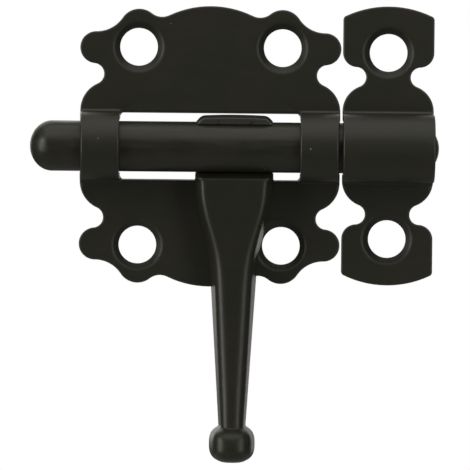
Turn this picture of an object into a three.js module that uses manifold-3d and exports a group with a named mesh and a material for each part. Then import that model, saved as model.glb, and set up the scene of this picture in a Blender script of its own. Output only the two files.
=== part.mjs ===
// Surface bolt latch with a hanging handle: a pressed door plate whose two bridges guide a round bolt,
// the handle hooked round the bolt's middle, and the keeper that catches the bolt on the frame.
// Millimetres. X runs along the bolt towards the keeper, Z is up, and the door's face is the plane y = 0
// with the front of the latch towards -Y. The origin is the middle of the four door screws on that plane.
import * as THREE from "three";
import { mergeVertices } from "three/addons/utils/BufferGeometryUtils.js";
import Module from "manifold-3d";

const wasm = await Module();
wasm.setup();

// ---- Driving dimensions ----
const SHEET = 1.5; // door plate and keeper stock
const BOLT_RADIUS = 5;
const BOLT_LENGTH = 81.2;
const BOLT_DOME = 4.4; // length of each rounded end
const BOLT_REST_X = 4.9; // the bolt's middle, with the bolt thrown into the keeper
const GUIDE_CLEARANCE = 0.25; // bolt to bridge, all round
const BEND_RADIUS = 0.75; // inside radius where a bridge leaves its plate
const BRIDGE_NECKING = 0.5; // how much narrower each bridge edge is at the crown

const DOOR_SCREWS_X = 28.7; // hole to hole
const DOOR_SCREWS_Z = 39.5;
const KEEPER_SCREWS_Z = 37.2;
const SCREW_HOLE_RADIUS = 3.75;
const COUNTERSINK_RADIUS = 5;
const COUNTERSINK_LAND = 0.3; // straight wall left at the back of a countersink

const WINDOW_LENGTH = 35.9; // between the two bridges
const WINDOW_CORNER = 0.6;
const WINDOW_GAP = 0.2; // handle hook to window edge
const BRIDGE_WIDTH = 8;

const TOP_LUG = { offset: [0.05, 3.6], radius: 4 }; // offsets are from the nearest screw hole
const SIDE_LUG = { offset: [-8.5, -0.15], radius: 3.2 };
const HUMP_RISE = 8.25; // crown of the plate above its screw holes
const HUMP_RADIUS = 19.4;
const SHOULDER_RADIUS = 5.8;
const SHOULDER_SET_IN = 0.4; // shoulder centres below the bend line
const VALLEY_RADIUS = 3.3;
const FLANK_RADIUS = 6.3;
const NOTCH_RADIUS = 2.1;

const KEEPER_WIDTH = 18.2;
const KEEPER_GAP = 0.35; // door plate's lugs to the keeper
const KEEPER_CROWN_RISE = 9.25; // crown of the keeper above its screw hole
const KEEPER_CROWN_RADIUS = 20;
const KEEPER_CORNER = 0.9;
const KEEPER_CHEEK_RADIUS = 2.9;
const KEEPER_NOTCH_RADIUS = 2;
const KEEPER_SHOULDER_RADIUS = 5.3;
const KEEPER_SHOULDER_SET_IN = 0.6;
const KEEPER_BLANK_RISE = 0.4; // its outline and holes sit a little high on its bridge

const HANDLE_SHEET = 1.4;
const HOOK_CLEARANCE = 0.06; // hook to bolt
const HOOK_WIDTH = 15;
const HOOK_CORNER = 1.8;
const HOOK_LAP = 28; // degrees that the hook reaches past the top of the bolt
const DOOR_CLEARANCE = 0.44; // back of the hook to the door
const PLATE_CLEARANCE = 0.3; // back of the handle to the door plate
const HEAD_HALF_WIDTH = 7.95;
const HEAD_REACH = 2; // front of the head, forward of the bolt axis
const HEAD_SLOPE = 1.3; // height of the slope from under the bolt to the head's front edge
const WALL_CUT_FRONT = 0.4; // the walls are cut back from this far forward of the bolt axis
const WALL_CUT_GAP = 0.2; // below the hook, at the front of the cut
const WALL_CUT_DEPTH = 1; // below the hook, at the back
const HANDLE_LENGTH = 62.8; // bolt axis to the end of the bulb
const SHANK_TOP_HALF = 5.9; // straight taper of the shank, at the head and at the neck
const SHANK_NECK_HALF = 2.72;
const FLARE_START = 3.5; // below the underside of the bolt
const FLARE_END = 19;
const RIDGE_AT_HEAD = 0.87; // half width between the front ridges, as a share of the half width behind
const RIDGE_AT_NECK = 0.74;
const RIDGE_AT_BULB = 0.8;
const RIDGE_ROUNDING = 1.4; // length of each flank that a ridge's rounding takes up
const HANDLE_SWEEP = 3.6; // how far the bulb leans out from the head
const SWEEP_START = 20; // below the bolt axis
const SWEEP_POWER = 1.6; // how late the lean comes in
const BULB_HALF_WIDTH = 4.57;
const BULB_HALF_HEIGHT = 3.75;
const BULB_ROUNDNESS = 2.8; // exponent of its rounded-square outline
const NECK_BLEND = 0.5;
const NECK_DEPTH = 5.2;
const BULB_DEPTH = 7.2;

// ---- Sizes that follow ----
const hookInner = BOLT_RADIUS + HOOK_CLEARANCE;
const hookOuter = hookInner + HANDLE_SHEET;
const axisHeight = hookOuter + DOOR_CLEARANCE;
const bridgeInner = BOLT_RADIUS + GUIDE_CLEARANCE;
const bridgeOuter = bridgeInner + SHEET;
const bendLine = bridgeOuter + BEND_RADIUS;
const crownHeight = axisHeight + bridgeOuter;
const windowHalf = hookOuter + WINDOW_GAP;
const plateHalfWidth = WINDOW_LENGTH / 2 + BRIDGE_WIDTH;
const sideLugReach = DOOR_SCREWS_X / 2 - SIDE_LUG.offset[0] + SIDE_LUG.radius;
const keeperX = Math.max(plateHalfWidth, sideLugReach) + KEEPER_GAP + KEEPER_WIDTH / 2;

const OVERRUN = 1; // how far a cutter runs past what it cuts
const LIP = 0.7; // how far a bridge's foot overlaps its plate before they are joined
const HOOK_ROOT = 0.25; // radians that the hook's ring runs on into the head
const THINNEST = 0.15; // half width of a loft's last section
const MOST_ROUNDED = 0.95; // share of a ridge's flat or flank that its rounding may take
const FILLET_GROWTH = 1.03; // how much larger a fillet is than the least that reaches both its circles
const NECKING_POWER = 1.5;
const NECKING_STEPS = 12;
const DOME_STEPS = 9;
const RIDGE_STEPS = 6;
const OUTER_STEPS = { shank: 18, bulb: 6 }; // sections in the handle's outside
const INNER_STEPS = { shank: 14, bulb: 5 };
const ARC_STEP = Math.PI / 20;
const BEND_STEP = Math.PI / 12;
const ROUND_SEGMENTS = 36;
const MERGE_WITHIN = 1e-4; // points closer than this are one point
const DOUBLE_WITHIN = 1e-3; // and in an outline, closer than this
const ANGLE_SLACK = 1e-6;

// ---- Solids ----
// A closed geometry as a manifold-3d solid.
function toSolid(geometry) {
  const bare = geometry.clone();
  bare.deleteAttribute("normal");
  bare.deleteAttribute("uv");
  const merged = mergeVertices(bare, MERGE_WITHIN);
  return new wasm.Manifold(
    new wasm.Mesh({
      numProp: 3,
      vertProperties: new Float32Array(merged.attributes.position.array),
      triVerts: new Uint32Array(merged.index.array),
    }),
  );
}

function toGeometry(solid) {
  const { numProp, numVert, vertProperties, triVerts } = solid.getMesh();
  const position = new Float32Array(numVert * 3);
  for (let i = 0; i < numVert; i++) {
    position.set(vertProperties.subarray(i * numProp, i * numProp + 3), i * 3);
  }
  const geometry = new THREE.BufferGeometry();
  geometry.setAttribute("position", new THREE.BufferAttribute(position, 3));
  geometry.setIndex(new THREE.BufferAttribute(new Uint32Array(triVerts), 1));
  const flat = geometry.toNonIndexed();
  flat.computeVertexNormals();
  return flat;
}

const extruded = (shape, depth) =>
  new THREE.ExtrudeGeometry(shape, { depth, bevelEnabled: false, steps: 1 });

// An outline in X and Z, given thickness from y = back towards the front.
const slab = (points, thickness, back = 0) =>
  toSolid(extruded(new THREE.Shape(points), thickness).rotateX(Math.PI / 2).translate(0, back, 0));

// A profile in Y and Z, drawn out along X from x0 to x1.
function profileAlongX(points, x0, x1) {
  const turn = new THREE.Matrix4().set(0, 0, 1, x0, 1, 0, 0, 0, 0, 1, 0, 0, 0, 0, 0, 1);
  return toSolid(extruded(new THREE.Shape(points), x1 - x0).applyMatrix4(turn));
}

// ---- Outlines ----
const circle = (x, z, radius) => ({ x, z, radius });

// The circle of the given radius that touches two others from outside, right of the way from a to b.
// It grows if the two are too far apart for it to reach both.
function fillet(a, b, radius) {
  const dx = b.x - a.x;
  const dz = b.z - a.z;
  const apart = Math.hypot(dx, dz);
  const least = ((apart - a.radius - b.radius) / 2) * FILLET_GROWTH;
  const r = Math.max(radius, least);
  const ra = a.radius + r;
  const rb = b.radius + r;
  const along = (ra * ra - rb * rb + apart * apart) / (2 * apart);
  const aside = Math.sqrt(ra * ra - along * along);
  return circle(a.x + (dx * along + dz * aside) / apart, a.z + (dz * along - dx * aside) / apart, r);
}

const angleTo = (from, to) => Math.atan2(to.z - from.z, to.x - from.x);

// Points on a circle between two angles, going anticlockwise if turn is 1 and clockwise if it is -1.
function arc(c, start, end, turn = 1) {
  const full = 2 * Math.PI;
  const sweep = ((((end - start) * turn) % full) + full) % full;
  const steps = Math.max(2, Math.ceil(sweep / ARC_STEP));
  return Array.from({ length: steps + 1 }, (_, i) => {
    const angle = start + (turn * sweep * i) / steps;
    return new THREE.Vector2(c.x + c.radius * Math.cos(angle), c.z + c.radius * Math.sin(angle));
  });
}

// The whole outline from its upper left quarter, which runs from the crown to the left side.
function mirrored(quarter) {
  const left = [...quarter, ...quarter.map((p) => new THREE.Vector2(p.x, -p.y)).reverse()];
  const right = left.map((p) => new THREE.Vector2(-p.x, p.y)).reverse();
  const all = [...left, ...right];
  return all.filter((p, i) => p.distanceTo(all[(i + 1) % all.length]) > DOUBLE_WITHIN);
}

// Convex lugs and hollow fillets in turn, each tangent to the next.
function doorPlateOutline() {
  const hole = { x: -DOOR_SCREWS_X / 2, z: DOOR_SCREWS_Z / 2 };
  const hump = circle(0, hole.z + HUMP_RISE - HUMP_RADIUS, HUMP_RADIUS);
  const topLug = circle(hole.x + TOP_LUG.offset[0], hole.z + TOP_LUG.offset[1], TOP_LUG.radius);
  const sideLug = circle(hole.x + SIDE_LUG.offset[0], hole.z + SIDE_LUG.offset[1], SIDE_LUG.radius);
  const shoulder = circle(SHOULDER_RADIUS - plateHalfWidth, bendLine - SHOULDER_SET_IN, SHOULDER_RADIUS);
  const valley = fillet(hump, topLug, VALLEY_RADIUS);
  const flank = fillet(topLug, sideLug, FLANK_RADIUS);
  const notch = fillet(sideLug, shoulder, NOTCH_RADIUS);
  return mirrored([
    ...arc(hump, Math.PI / 2, angleTo(hump, valley)),
    ...arc(valley, angleTo(valley, hump), angleTo(valley, topLug), -1),
    ...arc(topLug, angleTo(topLug, valley), angleTo(topLug, flank)),
    ...arc(flank, angleTo(flank, topLug), angleTo(flank, sideLug), -1),
    ...arc(sideLug, angleTo(sideLug, flank), angleTo(sideLug, notch)),
    ...arc(notch, angleTo(notch, sideLug), angleTo(notch, shoulder), -1),
    ...arc(shoulder, angleTo(shoulder, notch), Math.PI),
  ]);
}

function keeperOutline() {
  const half = KEEPER_WIDTH / 2;
  const holeZ = KEEPER_SCREWS_Z / 2;
  const crown = circle(0, holeZ + KEEPER_CROWN_RISE - KEEPER_CROWN_RADIUS, KEEPER_CROWN_RADIUS);
  const cornerX = KEEPER_CORNER - half;
  const cornerZ = crown.z + Math.sqrt((crown.radius - KEEPER_CORNER) ** 2 - cornerX ** 2);
  const corner = circle(cornerX, cornerZ, KEEPER_CORNER);
  const cheek = circle(KEEPER_CHEEK_RADIUS - half, holeZ, KEEPER_CHEEK_RADIUS);
  const shoulderZ = bendLine - KEEPER_SHOULDER_SET_IN;
  const shoulder = circle(KEEPER_SHOULDER_RADIUS - half, shoulderZ, KEEPER_SHOULDER_RADIUS);
  const notch = fillet(cheek, shoulder, KEEPER_NOTCH_RADIUS);
  return mirrored([
    ...arc(crown, Math.PI / 2, angleTo(crown, corner)),
    ...arc(corner, angleTo(crown, corner), Math.PI),
    ...arc(cheek, Math.PI, angleTo(cheek, notch)),
    ...arc(notch, angleTo(notch, cheek), angleTo(notch, shoulder), -1),
    ...arc(shoulder, angleTo(shoulder, notch), Math.PI),
  ]);
}

// A rectangle with rounded corners, centred at x = 0.
function roundedRectangle(halfX, lowZ, highZ, radius) {
  const corners = [
    [halfX - radius, highZ - radius, 0],
    [radius - halfX, highZ - radius, 1],
    [radius - halfX, lowZ + radius, 2],
    [halfX - radius, lowZ + radius, 3],
  ];
  return corners.flatMap(([x, z, quarter]) =>
    arc(circle(x, z, radius), (quarter * Math.PI) / 2, ((quarter + 1) * Math.PI) / 2),
  );
}

// ---- Features shared by the plates ----
// The bridge's section in Y and Z: an arch over the bolt on straight walls, which bend out into the plate.
function bridgeProfile() {
  const axis = -axisHeight;
  const bendY = -SHEET - BEND_RADIUS;
  const foot = bendLine + LIP;
  const half = [];
  for (let angle = Math.PI; angle > Math.PI / 2 - ANGLE_SLACK; angle -= ARC_STEP) {
    half.push([axis + bridgeOuter * Math.cos(angle), bridgeOuter * Math.sin(angle)]);
  }
  for (let angle = -Math.PI / 2; angle < ANGLE_SLACK; angle += BEND_STEP) {
    half.push([bendY + BEND_RADIUS * Math.cos(angle), bendLine + BEND_RADIUS * Math.sin(angle)]);
  }
  half.push([-SHEET, foot], [0, foot]);
  const outerBend = BEND_RADIUS + SHEET;
  for (let angle = 0; angle > -Math.PI / 2 - ANGLE_SLACK; angle -= BEND_STEP) {
    half.push([bendY + outerBend * Math.cos(angle), bendLine + outerBend * Math.sin(angle)]);
  }
  for (let angle = Math.PI / 2; angle < Math.PI + ANGLE_SLACK; angle += ARC_STEP) {
    half.push([axis + bridgeInner * Math.cos(angle), bridgeInner * Math.sin(angle)]);
  }
  // The half runs out over the arch and back under it, and the other half is its points mirrored in Z.
  const turn = half.findIndex((p) => p[0] === 0);
  const outer = half.slice(0, turn);
  const inner = half.slice(turn);
  const mirror = (points) => points.map(([y, z]) => [y, -z]).reverse();
  const loop = [...outer, ...inner, ...mirror(inner).slice(1), ...mirror(outer).slice(0, -1)];
  return loop.map(([y, z]) => new THREE.Vector2(y, z));
}

// A bridge from x0 to x1. The named edges draw in towards the crown, as stretched sheet does.
function bridge(x0, x1, neckLeft, neckRight) {
  const whole = profileAlongX(bridgeProfile(), x0, x1);
  const height = crownHeight + OVERRUN;
  const edge = (x, amount) =>
    Array.from({ length: NECKING_STEPS + 1 }, (_, i) => {
      const y = (-height * i) / NECKING_STEPS;
      const rise = Math.max(0, -y - SHEET) / (crownHeight - SHEET);
      return new THREE.Vector2(x + amount * Math.min(1, rise) ** NECKING_POWER, y);
    });
  const left = [new THREE.Vector2(x0, OVERRUN), ...edge(x0, neckLeft)];
  const right = [new THREE.Vector2(x1, OVERRUN), ...edge(x1, -neckRight)];
  const plan = [...left, ...right.reverse()];
  const reach = bendLine + LIP + OVERRUN;
  const keep = toSolid(extruded(new THREE.Shape(plan), 2 * reach).translate(0, 0, -reach));
  return whole.intersect(keep);
}

// A cutter through the sheet between the bend lines, from x0 to x1.
function bandCutter(x0, x1) {
  const corners = [[x0, -bendLine], [x1, -bendLine], [x1, bendLine], [x0, bendLine]];
  const outline = corners.map(([x, z]) => new THREE.Vector2(x, z));
  return slab(outline, SHEET + 2 * OVERRUN, OVERRUN);
}

// The cutter for one countersunk screw hole through the sheet, in a lathe about Y.
function screwHole(x, z) {
  const slope = (COUNTERSINK_RADIUS - SCREW_HOLE_RADIUS) / (SHEET - COUNTERSINK_LAND);
  const profile = [
    [0, -SHEET - OVERRUN],
    [COUNTERSINK_RADIUS + slope * OVERRUN, -SHEET - OVERRUN],
    [SCREW_HOLE_RADIUS, -COUNTERSINK_LAND],
    [SCREW_HOLE_RADIUS, OVERRUN],
    [0, OVERRUN],
  ].map(([r, y]) => new THREE.Vector2(r, y));
  return toSolid(new THREE.LatheGeometry(profile, ROUND_SEGMENTS).translate(x, 0, z));
}

// ---- The four pieces ----
function doorPlate() {
  const half = WINDOW_LENGTH / 2;
  const side = plateHalfWidth + SIDE_LUG.radius;
  const window = roundedRectangle(half, -windowHalf, windowHalf, WINDOW_CORNER);
  let plate = slab(doorPlateOutline(), SHEET)
    .subtract(slab(window, SHEET + 2 * OVERRUN, OVERRUN))
    .subtract(bandCutter(-side, -half))
    .subtract(bandCutter(half, side))
    .add(bridge(-plateHalfWidth, -half, BRIDGE_NECKING, 0))
    .add(bridge(half, plateHalfWidth, 0, BRIDGE_NECKING));
  for (const x of [-DOOR_SCREWS_X / 2, DOOR_SCREWS_X / 2]) {
    for (const z of [-DOOR_SCREWS_Z / 2, DOOR_SCREWS_Z / 2]) {
      plate = plate.subtract(screwHole(x, z));
    }
  }
  return toGeometry(plate);
}

// The keeper about its own middle: one bridge across its whole width.
function keeperPlate() {
  const half = KEEPER_WIDTH / 2;
  let plate = slab(keeperOutline(), SHEET)
    .translate([0, 0, KEEPER_BLANK_RISE])
    .subtract(bandCutter(-half - OVERRUN, half + OVERRUN))
    .add(bridge(-half, half, 0, 0));
  for (const z of [-KEEPER_SCREWS_Z / 2, KEEPER_SCREWS_Z / 2]) {
    plate = plate.subtract(screwHole(0, z + KEEPER_BLANK_RISE));
  }
  return toGeometry(plate);
}

// The bolt about its own middle: a round bar with an ellipsoid at each end.
function bolt() {
  const half = BOLT_LENGTH / 2;
  const dome = Array.from({ length: DOME_STEPS + 1 }, (_, i) => {
    const angle = (i / DOME_STEPS) * (Math.PI / 2);
    return [BOLT_RADIUS * Math.sin(angle), BOLT_DOME * (1 - Math.cos(angle)) - half];
  });
  const profile = [...dome, ...dome.map(([r, x]) => [r, -x]).reverse()];
  profile[0][0] = 0;
  profile[profile.length - 1][0] = 0;
  const points = profile.map(([r, x]) => new THREE.Vector2(r, x));
  const turned = new THREE.LatheGeometry(points, ROUND_SEGMENTS).rotateZ(-Math.PI / 2);
  return toGeometry(toSolid(turned));
}

const smooth = (t) => {
  const c = Math.min(1, Math.max(0, t));
  return c * c * (3 - 2 * c);
};

// The larger of two lengths, with the corner between them rounded by k.
const blendedMax = (a, b, k) => Math.max(a, b) + Math.max(0, k - Math.abs(a - b)) ** 2 / (4 * k);

// The handle's section at a depth below the bolt axis, drawn in by an inset for the inside of the sheet:
// its half width at the back and between its front ridges, its front and back in Y from the bolt axis, and
// how far its ridges are rounded.
function handleForm(below, inset) {
  const neck = HANDLE_LENGTH - 2 * BULB_HALF_HEIGHT;
  const along = Math.min(1, (below - hookInner) / (neck - hookInner));
  const flareShare = 1 - smooth((below - hookInner - FLARE_START) / (FLARE_END - FLARE_START));
  const taper = SHANK_TOP_HALF + (SHANK_NECK_HALF - SHANK_TOP_HALF) * along;
  const shank = taper + (HEAD_HALF_WIDTH - SHANK_TOP_HALF) * flareShare - inset;
  const fromBulb = below - HANDLE_LENGTH + BULB_HALF_HEIGHT;
  const bulbReach = Math.min(1, Math.abs(fromBulb) / (BULB_HALF_HEIGHT - inset));
  const bulb = (1 - bulbReach ** BULB_ROUNDNESS) ** (1 / BULB_ROUNDNESS);
  const bulbHalf = (BULB_HALF_WIDTH - inset) * bulb;
  const inShank = fromBulb < 0;

  const headDepth = axisHeight - SHEET - PLATE_CLEARANCE + HEAD_REACH;
  const shankDepth = headDepth + (NECK_DEPTH - headDepth) * smooth(along);
  const swept = Math.max(0, (below - SWEEP_START) / (HANDLE_LENGTH - SWEEP_START));
  const back = axisHeight - SHEET - PLATE_CLEARANCE - HANDLE_SWEEP * swept ** SWEEP_POWER;
  const bulbDepth = BULB_DEPTH * bulb;
  const depth = inShank ? blendedMax(shankDepth, bulbDepth, NECK_BLEND) : bulbDepth;
  const slope = inset > 0 ? 0 : Math.max(0, hookInner + HEAD_SLOPE - below);
  const bulbShare = smooth(1 + fromBulb / BULB_HALF_HEIGHT);
  const shankRidge = RIDGE_AT_HEAD + (RIDGE_AT_NECK - RIDGE_AT_HEAD) * smooth(along);
  const half = inShank ? blendedMax(shank, bulbHalf, NECK_BLEND) : bulbHalf;
  const ridge = shankRidge + (RIDGE_AT_BULB - shankRidge) * bulbShare;
  return {
    half: Math.max(half, THINNEST),
    ridge: Math.max(half, THINNEST) * ridge,
    front: Math.min(back - depth + inset + slope, back - THINNEST),
    back,
    rounding: RIDGE_ROUNDING * (1 - bulbShare) + MOST_ROUNDED * half * ridge * bulbShare,
  };
}

// One section's points from the left of its open back, over both ridges, to the right.
function handleSection(below, inset, backOverrun) {
  const { half, ridge, front, back, rounding } = handleForm(below, inset);
  const flank = Math.hypot(half - ridge, back - front);
  const reach = Math.min(rounding, MOST_ROUNDED * ridge, MOST_ROUNDED * flank);
  const towardsBack = new THREE.Vector2(half - ridge, back - front).multiplyScalar(reach / flank);
  const corner = new THREE.Vector2(ridge, front);
  const bend = new THREE.QuadraticBezierCurve(
    new THREE.Vector2(ridge - reach, front),
    corner,
    corner.clone().add(towardsBack),
  );
  const right = [...bend.getPoints(RIDGE_STEPS), new THREE.Vector2(half, back + backOverrun)];
  const left = right.map((p) => new THREE.Vector2(-p.x, p.y)).reverse();
  return [...left, ...right].map((p) => [p.x, p.y, -below]);
}

// A closed body through sections down the handle.
function handleLoft(depths, inset, backOverrun) {
  const sections = depths.map((below) => handleSection(below, inset, backOverrun));
  const count = sections[0].length;
  const positions = sections.flat(2);
  const index = [];
  for (let row = 0; row + 1 < sections.length; row++) {
    for (let i = 0; i < count; i++) {
      const a = row * count + i;
      const b = row * count + ((i + 1) % count);
      index.push(a, a + count, b, b, a + count, b + count);
    }
  }
  for (const [row, flip] of [[0, false], [sections.length - 1, true]]) {
    for (let i = 1; i + 1 < count; i++) {
      const fan = [row * count, row * count + i, row * count + i + 1];
      index.push(...(flip ? fan.reverse() : fan));
    }
  }
  const geometry = new THREE.BufferGeometry();
  geometry.setAttribute("position", new THREE.Float32BufferAttribute(positions, 3));
  geometry.setIndex(index);
  return toSolid(geometry);
}

// Depths below the bolt axis for the handle's sections: close together in the head's slope, even down the
// shank, and by equal turns of the rounded-square curve in the bulb.
function handleDepths(start, inset, steps) {
  const shoulder = start + HEAD_SLOPE;
  const centre = HANDLE_LENGTH - BULB_HALF_HEIGHT;
  const reach = BULB_HALF_HEIGHT - inset;
  const bulbTop = centre - reach;
  const spread = (from, to, count) =>
    Array.from({ length: count }, (_, i) => from + ((to - from) * i) / count);
  const bulb = Array.from({ length: 2 * steps.bulb }, (_, i) => {
    const sine = Math.sin(((i + 1 - steps.bulb) / steps.bulb) * (Math.PI / 2));
    return centre + reach * Math.sign(sine) * Math.abs(sine) ** (2 / BULB_ROUNDNESS);
  });
  return [...spread(start, shoulder, 2), ...spread(shoulder, bulbTop, steps.shank), bulbTop, ...bulb];
}

// The rolled hook: a ring round the back of the bolt, from under it to just past its top.
function handleHook() {
  const from = -Math.PI / 2 - HOOK_ROOT;
  const to = Math.PI / 2 + THREE.MathUtils.degToRad(HOOK_LAP);
  const steps = Math.ceil((to - from) / ARC_STEP);
  const ring = (radius) =>
    Array.from({ length: steps + 1 }, (_, i) => {
      const angle = from + ((to - from) * i) / steps;
      return new THREE.Vector2(radius * Math.cos(angle), radius * Math.sin(angle));
    });
  const half = HOOK_WIDTH / 2;
  const whole = profileAlongX([...ring(hookOuter), ...ring(hookInner).reverse()], -half, half);
  const front = roundedRectangle(half, -2 * hookOuter, hookOuter, HOOK_CORNER);
  return whole.intersect(slab(front, 4 * hookOuter, 2 * hookOuter));
}

// The handle about the bolt axis: one pressed sheet, hollow behind, hooked round the bolt at the top.
// Behind the head's top edge its side walls are cut back on a slope, clear of the hook.
function handle() {
  const outer = handleLoft(handleDepths(hookInner, 0, OUTER_STEPS), 0, 0);
  const innerDepths = handleDepths(hookOuter, HANDLE_SHEET, INNER_STEPS);
  const inner = handleLoft(innerDepths, HANDLE_SHEET, OVERRUN);
  const behind = axisHeight;
  const wallCut = [
    [behind, -BOLT_RADIUS],
    [-WALL_CUT_FRONT, -BOLT_RADIUS],
    [-WALL_CUT_FRONT, -hookOuter - WALL_CUT_GAP],
    [behind, -hookOuter - WALL_CUT_DEPTH],
  ].map(([y, z]) => new THREE.Vector2(y, z));
  const boltSpace = arc(circle(0, 0, hookInner), 0, 2 * Math.PI).slice(1);
  const whole = outer
    .subtract(inner)
    .subtract(profileAlongX(wallCut, -2 * HEAD_HALF_WIDTH, 2 * HEAD_HALF_WIDTH))
    .add(handleHook())
    .subtract(profileAlongX(boltSpace, -BOLT_LENGTH, BOLT_LENGTH));
  return toGeometry(whole);
}

// ---- Finishes ----
const COAT_COLOUR = 0x1b1b19;
const COAT_METALNESS = 0.1;
const PLATE_ROUGHNESS = 0.5;
const BOLT_ROUGHNESS = 0.45;
const HANDLE_ROUGHNESS = 0.42;

const blackPaint = (roughness) =>
  new THREE.MeshStandardMaterial({ color: COAT_COLOUR, roughness, metalness: COAT_METALNESS });

function piece(name, geometry, roughness) {
  const mesh = new THREE.Mesh(geometry, blackPaint(roughness));
  mesh.name = name;
  return mesh;
}

// ---- Assembly ----
const latch = new THREE.Group();
latch.add(piece("door_plate", doorPlate(), PLATE_ROUGHNESS));

const thrown = new THREE.Group();
thrown.position.set(BOLT_REST_X, -axisHeight, 0);
thrown.add(piece("bolt", bolt(), BOLT_ROUGHNESS), piece("handle", handle(), HANDLE_ROUGHNESS));
latch.add(thrown);

const keeper = piece("keeper", keeperPlate(), PLATE_ROUGHNESS);
keeper.position.x = keeperX;
latch.add(keeper);

export default latch;
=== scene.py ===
"""Toggle bolt latch: a scalloped door plate, a round bolt, the handle hooked round it, and the keeper.

Laid out as an add-on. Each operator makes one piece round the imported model, in metres: +X runs along the
bolt to the keeper, +Z is up, and the latch's front faces -Y.
"""

import math

import bpy
import numpy as np
from bpy.props import FloatProperty, FloatVectorProperty, PointerProperty
from bpy.types import Operator, Panel, PropertyGroup
from mathutils import Matrix, Vector
from mathutils.geometry import delaunay_2d_cdt


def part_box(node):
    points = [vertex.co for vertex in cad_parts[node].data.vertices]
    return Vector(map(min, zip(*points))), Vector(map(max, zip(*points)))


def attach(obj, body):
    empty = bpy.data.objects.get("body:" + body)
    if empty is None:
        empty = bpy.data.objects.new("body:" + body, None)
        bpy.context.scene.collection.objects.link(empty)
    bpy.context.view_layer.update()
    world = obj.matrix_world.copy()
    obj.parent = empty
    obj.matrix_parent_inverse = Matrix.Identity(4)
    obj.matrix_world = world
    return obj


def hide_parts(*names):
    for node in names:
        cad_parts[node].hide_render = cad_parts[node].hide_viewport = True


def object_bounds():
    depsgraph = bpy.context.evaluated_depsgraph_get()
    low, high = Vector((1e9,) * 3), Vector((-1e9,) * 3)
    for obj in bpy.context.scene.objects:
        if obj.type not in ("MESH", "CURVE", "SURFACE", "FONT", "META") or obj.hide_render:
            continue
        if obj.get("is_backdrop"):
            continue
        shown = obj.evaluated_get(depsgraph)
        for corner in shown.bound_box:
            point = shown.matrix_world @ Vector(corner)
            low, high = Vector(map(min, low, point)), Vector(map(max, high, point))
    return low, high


bl_info = {
    "name": "Toggle Bolt Latch",
    "version": (1, 0, 0),
    "blender": (4, 5, 0),
    "location": "3D View > Sidebar > Latch",
    "description": "Builds a surface toggle bolt latch round its packed model",
    "category": "Object",
}

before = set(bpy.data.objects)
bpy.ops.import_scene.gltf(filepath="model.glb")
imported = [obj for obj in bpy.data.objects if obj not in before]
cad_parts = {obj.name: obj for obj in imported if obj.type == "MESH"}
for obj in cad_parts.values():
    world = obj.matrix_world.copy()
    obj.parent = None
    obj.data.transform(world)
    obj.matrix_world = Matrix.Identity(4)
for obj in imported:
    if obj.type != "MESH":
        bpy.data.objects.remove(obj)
CAD_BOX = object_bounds()

MM = 0.001

PLATE_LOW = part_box("door_plate")[0]
KEEPER_LOW, KEEPER_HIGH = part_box("keeper")
BOLT_LOW, BOLT_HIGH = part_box("bolt")
HANDLE_LOW, HANDLE_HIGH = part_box("handle")
BOLT_AXIS = (BOLT_LOW + BOLT_HIGH) / 2
BOLT_RADIUS = (BOLT_HIGH.z - BOLT_LOW.z) / 2
BOLT_LENGTH = BOLT_HIGH.x - BOLT_LOW.x
AXIS_HEIGHT = -BOLT_AXIS.y
CROWN_HEIGHT = -PLATE_LOW.y
HOOK_OUTER = HANDLE_HIGH.z - BOLT_AXIS.z
HANDLE_LENGTH = BOLT_AXIS.z - HANDLE_LOW.z


# ---- Settings ----
def length(name, millimetres, description):
    """A length property, given in millimetres and kept in metres."""
    return FloatProperty(
        name=name,
        description=description,
        default=millimetres * MM,
        min=0.0,
        precision=5,
        unit="LENGTH",
    )


def share(name, value, description):
    """A property from 0 to 1."""
    return FloatProperty(
        name=name, description=description, default=value, min=0.0, max=1.0, subtype="FACTOR"
    )


def angle(name, degrees, description):
    """An angle property, given in degrees and kept in radians."""
    return FloatProperty(
        name=name, description=description, default=math.radians(degrees), subtype="ANGLE"
    )


def colour(name, rgb, description):
    """A colour property, linear."""
    return FloatVectorProperty(
        name=name, description=description, default=rgb, size=3, min=0.0, max=1.0, subtype="COLOR"
    )


class LatchSheetSettings(PropertyGroup):
    """What the door plate and the keeper share."""

    thickness: length("Sheet", 1.5, "Thickness of the pressed sheet")
    front_rounding: length("Front edge", 0.38, "Rounding of the sheet's edges on the front")
    back_rounding: length("Back edge", 0.14, "Rounding of the sheet's edges at the back")
    edge_border: length("Border", 0.42, "Width of the strip along each edge that holds the rounding")
    bend_radius: length("Bend", 0.75, "Inside radius where a bridge leaves its plate")
    hole_radius: length("Screw hole", 3.75, "Radius of a screw hole at the back")
    countersink_radius: length("Countersink", 4.95, "Radius of a countersink at the front")
    countersink_rounding: length("Countersink rounding", 0.5, "How softly the plate runs into a countersink")
    countersink_land: length("Land", 0.3, "Straight wall left at the back of a screw hole")


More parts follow.
